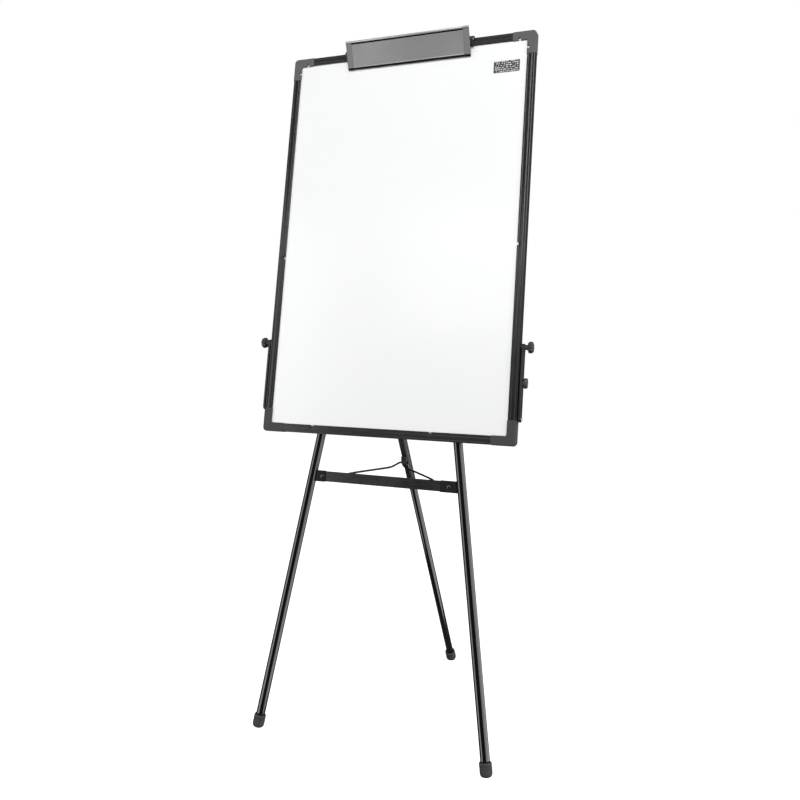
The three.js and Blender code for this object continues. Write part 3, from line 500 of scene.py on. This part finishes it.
for name, (axis, place, crimps) in RAILS.items():
    low, high = RUN[axis]
    stops = {low, low + 0.15, high - 0.15, high}
    for c in crimps:
        stops |= {c + 0.6 * k for k in range(-20, 21)}
    rings = [[place(*crimped(a, d, s, crimps), s) for a, d in rail_line] for s in sorted(stops)]
    rail = piece_from(loft(rings), f"{name}_profile", BOARD, 50)
    settle(rail, f"rail_{axis}", "frame", [name])
    rail.data.materials.append(LOOKS["bare_lip"])
    rail.data.materials.append(LOOKS["rail_side"])
    to_board = BOARD.inverted() @ Matrix.Scale(1 / MM, 4)
    for face in rail.data.polygons:
        at = to_board @ face.center
        s, a = (at.x, at.z) if axis == "x" else (at.z, HALF - abs(at.x))
        on_lip = at.y < LIP_DEPTH and a > LIP_FROM
        if on_lip and any(abs(s - c) < LIP_HALF for c in crimps):
            face.material_index = 1
        elif axis == "z" and a < FLANK_TO:
            # the side rails' outer flank takes the painted-shade finish
            face.material_index = 2

# corner caps: a channel section swept round the corner
CAP_CENTRE, CAP_EASE = 8.2, 0.5
CAP_SECTION = [
    (-CAP_PROUD, 1.4), (-0.55, 0.1), (0.3, -0.62), (1.5, -CAP_PROUD), (17.6, -CAP_PROUD),
    (18.9, -0.55), (19.6, 0.2), (19.8, 1.2), (19.8, GROOVE_FRONT), (3.1, GROOVE_FRONT),
    (3.1, GROOVE_BACK), (15.8, GROOVE_BACK), (15.8, 16.2), (14.9, 17.3), (1.2, 17.3),
    (-CAP_PROUD, 15.6),
]
CAP_HOLE = [(0, -4), (3.7, -4), (3.7, -0.7), (3.1, 0.1), (3.1, 3.1), (0, 3.1)]
CAP_HOLE_SPOTS = ((36.5, 17), (17, 36.5))


def corner_line(a, depth, steps=9):
    """One line of the sweep, from the end of one arm round to the end of the other."""
    centre = CAP_CENTRE if a < CAP_CENTRE else a + 4.0 * min(1.0, (a - CAP_CENTRE) / 11.6)
    radius = centre - a
    bend = [(centre - radius * math.cos(t), centre - radius * math.sin(t))
            for t in (0.5 * math.pi * k / steps for k in range(steps + 1))]
    low = a + CAP_EASE * (1 if a < 8 else -1) * 0.6
    ends = [(low, CAP_ARM), (a, CAP_ARM - CAP_EASE)]
    line = ends + bend + [(q, p) for p, q in reversed(ends)]
    return [(p, depth, q) for p, q in line]


def corner_cap(side, top):
    lines = [corner_line(a, d) for a, d in rounded(CAP_SECTION, 0.5, 2)]
    rings = []
    for k in range(len(lines[0])):
        ring = [line[k] for line in lines]
        rings.append([(side * (HALF - a), d, BOARD_H - b if top else b) for a, d, b in ring])
    return loft(rings)


for side, label in ((-1, "left"), (1, "right")):
    for top, level, look in ((True, "top", "cap_grey"), (False, "bottom", "cap_dark")):
        cap = piece_from(corner_cap(side, top), f"cap_{level}_{label}", BOARD, 45)
        if top:
            for a, b in CAP_HOLE_SPOTS:
                spot = BOARD @ shift((side * (HALF - a), 0, BOARD_H - b)) @ INWARD
                carve(cap, lathe(CAP_HOLE, 40), spot)
        settle(cap, look, "frame", [f"corner_{level}_{label}"])

refined("back_rail", "matte_black", "frame", 0.5)
refined("head_block", "black_plastic", "frame", 0.6)


# ---------------------------------------------------------------- legs
def run_to(matrix, height):
    """How far along a frame's z a point reaches this height above the floor."""
    return (height - matrix[2][3]) / matrix[2][2]


def tube(matrix, outer, inner, low, high, name):
    """A tube with slightly rolled ends."""
    profile = [(inner, low + 0.3), (inner + 0.2, low), (outer - 0.25, low), (outer, low + 0.35),
               (outer, high - 0.35), (outer - 0.25, high), (inner + 0.2, high),
               (inner, high - 0.3), (inner, low + 0.3)]
    return piece_from(lathe(profile, 72), name, matrix, 40)


def foot(matrix, bore_r, name):
    """A moulded foot: collar, grip rings and a squarish ball end cut off flat at the floor."""
    ball = run_to(matrix, FOOT_BALL)
    top = ball + FOOT_LENGTH
    square = 2 / FOOT_SQUARENESS
    profile = [(FOOT_R * math.sin(t) ** square, ball - FOOT_SOLE * abs(math.cos(t)) ** square)
               for t in (math.pi / 2 * k / 14 for k in range(15))]
    z = ball + 2.4
    for _ in range(GRIP_RINGS):
        profile += [(FOOT_R, z), (FOOT_R - 0.25, z + 0.3), (FOOT_R - 0.8, z + 0.5),
                    (FOOT_R - 0.8, z + 0.9), (FOOT_R - 0.25, z + 1.1), (FOOT_R, z + 1.4)]
        z += GRIP_PITCH
    profile += [(FOOT_R, top - 2.4), (FOOT_R - 0.2, top - 1.2), (FOOT_R - 0.8, top - 0.4),
                (FOOT_R - 1.3, top)]
    bore = bore_r + FIT
    profile += [(bore + 0.2, top), (bore, top - 0.4), (bore, top - FOOT_BORE),
                (0, top - FOOT_BORE)]
    piece = piece_from(lathe(profile, 64), name, matrix, 50)
    bm = bmesh.new()
    bm.from_mesh(piece.data)
    cut = bmesh.ops.bisect_plane(bm, geom=bm.verts[:] + bm.edges[:] + bm.faces[:],
                                 plane_co=(0, 0, 0), plane_no=(0, 0, 1), clear_inner=True)
    rim = [g for g in cut["geom_cut"] if isinstance(g, bmesh.types.BMEdge)]
    bmesh.ops.contextual_create(bm, geom=rim)
    bmesh.ops.recalc_face_normals(bm, faces=bm.faces)
    bm.to_mesh(piece.data)
    bm.free()
    piece.data.set_sharp_from_angle(angle=50 * RAD)
    return piece


tube_start = FOOT_LENGTH - FOOT_BORE + FIT
for side, label in ((-1, "left"), (1, "right")):
    leg = leg_frame(side)
    low = run_to(leg, FOOT_BALL) + tube_start
    high = LEG_TOP / math.cos(LEG_SPLAY)
    pipe = tube(leg, LEG_R, LEG_R - LEG_WALL, low, high, f"leg_{label}")
    settle(pipe, "enamel", "frame", [f"leg_tube_{label}"])
    settle(foot(leg, LEG_R, f"foot_{label}"), "rubber", "frame", [f"leg_foot_{label}"])
    inner, seat = LEG_R - LEG_WALL - FIT, high - PLUG_SEAT
    plug = lathe([(0, seat), (inner - 0.4, seat), (inner, seat + 0.6), (inner, high + 0.3),
                  (LEG_R - 0.1, high + 0.3), (LEG_R, high + 0.6), (LEG_R - 0.5, high + 1.7),
                  (LEG_R - 1.8, high + 2.5), (5, high + 2.9), (0, high + PLUG_TOP)], 48)
    plug = piece_from(plug, f"plug_{label}", leg, 50)
    settle(plug, "black_plastic", "frame", [f"leg_plug_{label}"])
    refined(f"leg_saddle_upper_{label}", "matte_black", "frame", 0.3)
    refined(f"leg_saddle_lower_{label}", "matte_black", "frame", 0.3)

# ---------------------------------------------------------------- crossbar
refined("crossbar", "bar", "frame", 0.3)
rivet_head = [(0, 1.8), (1.4, 1.75), (2.8, 1.45), (3.8, 0.85), (4.35, 0.15), (4.3, 0), (2.4, 0)]
rivet = [(r, -z) for r, z in rivet_head]
rivet += [(r, BAR_RIVET_LENGTH + z) for r, z in reversed(rivet_head)]
for label, x in BAR_RIVET_X.items():
    refined(f"bar_bracket_{label}", "rail_side", "frame", 0.35)
    refined(f"brace_hook_{label}", "matte_black", "frame", 0.3)
    spot = BOARD @ shift((x, BAR_RIVET_D, BAR_RIVET_Z)) @ INWARD
    stem = piece_from(lathe(rivet, 36), f"rivet_bar_{label}", spot, 50)
    settle(stem, "enamel", "frame", [f"bar_rivet_{label}"])

# ---------------------------------------------------------------- rear leg
refined("hinge_bracket", "matte_black", "frame", 0.4)
refined("hinge_pin", "steel", "frame", 0.3)
refined("rear_knuckle", "black_plastic", "rear_upper", 0.4)
refined("brace_clip", "black_plastic", "rear_upper", 0.5)
upper = tube(REAR, LEG_R, UPPER_BORE, -REAR_END, -KNUCKLE_GAP, "rear_tube_upper")
settle(upper, "matte_black", "rear_upper", ["rear_leg_upper"])
rim, bore = -REAR_END - FIT, REAR_R + FIT
collar = [(bore, rim - 7), (9.6, rim - 7), (10.1, rim - 6.7), (10.7, rim - 5.8), (10.8, rim - 4.6),
          (10.8, rim - 2), (10.6, rim - 0.7), (10.1, rim), (bore, rim), (bore, rim - 7)]
collar = piece_from(lathe(collar, 64), "rear_collar", REAR, 50)
settle(collar, "black_plastic", "rear_upper", ["rear_bushing"])
rear_low = run_to(REAR, FOOT_BALL) + tube_start
lower = tube(REAR, REAR_R, REAR_R - LEG_WALL, rear_low, -REAR_TOP, "rear_tube_lower")
settle(lower, "enamel", "rear_lower", ["rear_leg_lower"])
settle(foot(REAR, REAR_R, "foot_rear"), "rubber", "rear_lower", ["rear_foot"])

# wire brace
half_wire = [(x, 0, -drop) for x, drop in WIRE_PATH] + [(WIRE_TIP, 0, -WIRE_DROP)]
whole = [(-x, y, z) for x, y, z in reversed(half_wire)] + half_wire
wire = piece_from(swept(eased(whole), WIRE_R + WIRE_COAT, 20), "brace", BRACE, 60)
settle(wire, "wire", "brace", ["brace_wire"])

# ---------------------------------------------------------------- paper clamp
# the plate's section as (depth, height up the clamp)
CLAMP_SECTION = [
    (2.4, 0), (2.4, 4), (1, 4), (1, 60.4), (2.4, 60.4), (2.4, 63.2), (1.4, CLAMP_H),
    (-1.5, CLAMP_H), (-2.6, 63.6), (-3.0, 62.2), (-2.7, 60.9), (-1.8, 60.0), (0.1, 59.9),
    (0.1, 57.0), (-1.0, 56.8), (-1.2, 56.2), (-1.2, 6.4), (-1.9, 6.0), (-2.1, 5.3), (-1.9, 4.6),
    (-0.4, 4.4), (-0.4, 4.0), (-2.0, 3.8), (-2.7, 2.8), (-2.7, 1.4), (-1.6, 0),
]
STRIP_FRONT = 0.9
plate_half = CLAMP_HALF - CLAMP_END - FIT
plate = beam(rounded(CLAMP_SECTION, 0.5, 3), -plate_half, plate_half, 0.08)
plate = piece_from(plate, "clamp_face", CLAMP, 50)
settle(plate, "clamp_face", "clamp", ["clamp_plate"])


def strips(piece, black, bright):
    """The clamp's edge bands, where light and shade are painted: the faces in these bands of height up the
    clamp take painted shade (near black) or a painted highlight (light grey).
    """
    piece.data.materials.append(LOOKS["clamp_shade_black"])
    piece.data.materials.append(LOOKS["clamp_bead_highlight"])
    to_clamp = CLAMP.inverted() @ Matrix.Scale(1 / MM, 4)
    for face in piece.data.polygons:
        at = to_clamp @ face.center
        for index, bands in ((1, black), (2, bright)):
            if at.y < STRIP_FRONT and any(low < at.z < high for low, high in bands):
                face.material_index = index
                break


# painted shade in the groove under the top bead and along the bottom edge, painted highlight on the beads
strips(plate, ((-1, 4.3), (56.6, 60.0)), ((4.3, 6.5), (60.0, 65)))
for label in ("left", "right"):
    end = refined(f"clamp_end_{label}", "clamp_end", "clamp", 0.5)
    # on the end caps too: painted shade in the groove and at the bottom edge, painted highlight on the top
    # bead
    strips(end, ((-1, 4.4), (56.6, 60.2)), ((60.2, 65),))
    refined(f"clamp_bracket_{label}", "black_plastic", "frame", 0.5)
refined("clamp_rod", "steel", "frame", 0.2)
coil = []
coil_length = SPRING_TURNS * (2 * SPRING_WIRE + SPRING_GAP)
for k in range(SPRING_TURNS * 24 + 1):
    t = k / (SPRING_TURNS * 24)
    a = 2 * math.pi * SPRING_TURNS * t
    coil.append((coil_length * (t - 0.5), ROD_D + SPRING_R * math.cos(a),
                 ROD_Z + SPRING_R * math.sin(a)))
spring = piece_from(swept(coil, SPRING_WIRE, 10), "spring_coil", BOARD, 60)
settle(spring, "steel", "frame", ["clamp_spring"])


# ---------------------------------------------------------------- side arms and knobs
def lobed(x, radius, depth, lobes=8, steps=96):
    """A fluted ring across x."""
    ring = []
    for k in range(steps):
        a = 2 * math.pi * k / steps
        r = radius - depth * (0.5 - 0.5 * math.cos(lobes * a)) ** 1.4
        ring.append((x, r * math.cos(a), r * math.sin(a)))
    return ring


# along x from the arm outward: (x, radius, depth of the flutes)
KNOB_STATIONS = [
    (ARM_END_X + 0.3, 0.05, 0), (ARM_END_X + 0.3, 6.4, 0), (ARM_END_X + 0.9, 6.6, 0),
    (ARM_END_X + 1.8, 5.9, 0), (310.5, 5.5, 0), (314.2, 5.5, 0), (315.2, 6.2, 0),
    (315.5, 7.5, 0.2), (315.6, 9.4, 1.0), (316.1, 11.0, 1.6), (316.9, 11.9, 1.9),
    (318.0, 12.2, 2.0), (323.0, 12.2, 2.0), (324.2, 11.9, 1.9), (325.0, 11.1, 1.6),
    (325.45, 9.8, 1.0), (325.5, 8.6, 0.3), (325.2, 7.9, 0), (324.6, 7.4, 0), (324.3, 6.4, 0),
    (324.3, 0.05, 0),
]
for side, label in ((-1, "left"), (1, "right")):
    flip = turn(math.pi, 4, "Z") if side < 0 else Matrix.Identity(4)
    spot = BOARD @ shift((0, ARM_D, ARM_TOP)) @ flip
    knob = piece_from(loft([lobed(*s) for s in KNOB_STATIONS]), f"knob_{label}", spot, 55)
    settle(knob, "knob", f"knob_{label}", [f"arm_knob_{label}"])
    refined(f"side_arm_{label}", "arm_black", f"arm_{label}", 0.5)
    refined(f"arm_pin_{label}", "steel", f"arm_{label}", 0.3)
    refined(f"arm_stud_{label}", "arm_black", "frame", 0.3)


def oval(x, across, up, steps=48):
    """A ring across x, longer one way, for the stop knob's wings."""
    return [(x, across * math.cos(a) * (1 + 0.25 * math.sin(a) ** 2), up * math.sin(a))
            for a in (2 * math.pi * k / steps for k in range(steps))]


STOP_STATIONS = [
    (300.8, 0.05, 0.05), (300.8, 2.3, 2.3), (301.1, 2.6, 2.6), (307.8, 2.6, 2.6),
    (307.8, 4.4, 4.4), (308.0, 4.6, 4.6), (309.1, 4.6, 4.8), (309.4, 4.2, 8.6),
    (310.2, 5.0, 10.4), (311.2, 5.2, 11.0), (315.6, 5.2, 11.0), (316.7, 4.9, 10.5),
    (317.4, 4.0, 9.2), (317.5, 0.05, 0.05),
]
spot = BOARD @ shift((0, ARM_D, STOP_Z))
stop = piece_from(loft([oval(*s) for s in STOP_STATIONS]), "knob_stop", spot, 55)
settle(stop, "knob", "stop_knob_body", ["stop_knob"])

# ---------------------------------------------------------------- floor, light and camera
FLOOR_SPAN, FLOOR_GLOW, SKY_SEEN, SKY_LIGHT = 40.0, 0.97, 1.0, 0.06
LENS, SENSOR, SHIFT_Y = 39.153, 36, -0.075
CAMERA_PLACE = (0.78208, -1.90637, 0.92342)
CAMERA_YAW, CAMERA_PITCH, CAMERA_ROLL = 23.2523 * RAD, -1.7137 * RAD, 0.1339 * RAD

corners = [(x * FLOOR_SPAN, y * FLOOR_SPAN, 0) for x, y in ((-1, -1), (1, -1), (1, 1), (-1, 1))]
floor_mesh = bpy.data.meshes.new("floor")
floor_mesh.from_pydata(corners, [], [(0, 1, 2, 3)])
floor = new_object("floor", floor_mesh)

# pale to the camera, much darker as a source of bounced light, and not there in reflections: the
# light walls below reach under it, so that a leg's bright stripes run all the way down
n = Nodes("studio_floor")
direct = n.add("ShaderNodeLightPath").outputs["Is Camera Ray"]
cloud = n.noise(n.where, 1.5, 3.0)
pale = n.mixed(cloud, grey(0.5), grey(0.54))
n.put(n.shader.inputs["Base Color"], n.mixed(direct, grey(0.16), pale))
n.shader.inputs["Roughness"].default_value = 0.8
n.shader.inputs["Specular IOR Level"].default_value = 0.05
n.shader.inputs["Emission Color"].default_value = (1, 1, 1, 1)
n.put(n.shader.inputs["Emission Strength"], n.math("MULTIPLY", direct, FLOOR_GLOW))
floor_mesh.materials.append(n.material)
floor.visible_glossy = False

world = bpy.data.worlds.new("studio")
bpy.context.scene.world = world
world.use_nodes = True
sky = world.node_tree.nodes["Background"]
seen = world.node_tree.nodes.new("ShaderNodeLightPath").outputs["Is Camera Ray"]
level = world.node_tree.nodes.new("ShaderNodeMapRange")
level.inputs["To Min"].default_value = SKY_LIGHT
level.inputs["To Max"].default_value = SKY_SEEN
world.node_tree.links.new(seen, level.inputs["Value"])
world.node_tree.links.new(level.outputs["Result"], sky.inputs["Strength"])
sky.inputs["Color"].default_value = (1, 1, 1, 1)


def softbox(name, place, target, width, height, power):
    lamp = bpy.data.lights.new(name, "AREA")
    lamp.shape, lamp.size, lamp.size_y, lamp.energy = "RECTANGLE", width, height, power
    box = new_object(name, lamp)
    box.location = place
    box.rotation_euler = (Vector(target) - Vector(place)).to_track_quat("-Z", "Y").to_euler()
    box.visible_camera = False


softbox("key", (0.95, -3.2, 3.2), (0, 0, 0.8), 2.4, 1.8, 114)
softbox("left_wall", (-2.3, -2.0, -1.0), (0, 0, -1.0), 2.0, 6.7, 100)
softbox("left_high", (-0.85, -3.0, 2.2), (0, -0.1, 1.1), 0.85, 0.75, 6)
softbox("right_wall", (2.86, 0.17, -1.4), (0, 0, -1.4), 5.4, 7.6, 290)
softbox("back", (-0.6, 3.2, 2.4), (0, 0, 0.9), 2.4, 1.6, 40)

camera_data = bpy.data.cameras.new("camera")
camera_data.lens = LENS
camera_data.sensor_width = SENSOR
camera_data.shift_y = SHIFT_Y
camera_data.clip_end = 200
camera = new_object("camera", camera_data)
camera.location = CAMERA_PLACE
aim = turn(CAMERA_YAW, 4, "Z") @ turn(math.pi / 2 + CAMERA_PITCH, 4, "X")
camera.rotation_euler = (aim @ turn(CAMERA_ROLL, 4, "Z")).to_euler()
bpy.context.scene.camera = camera
bpy.context.scene.view_settings.view_transform = "Standard"
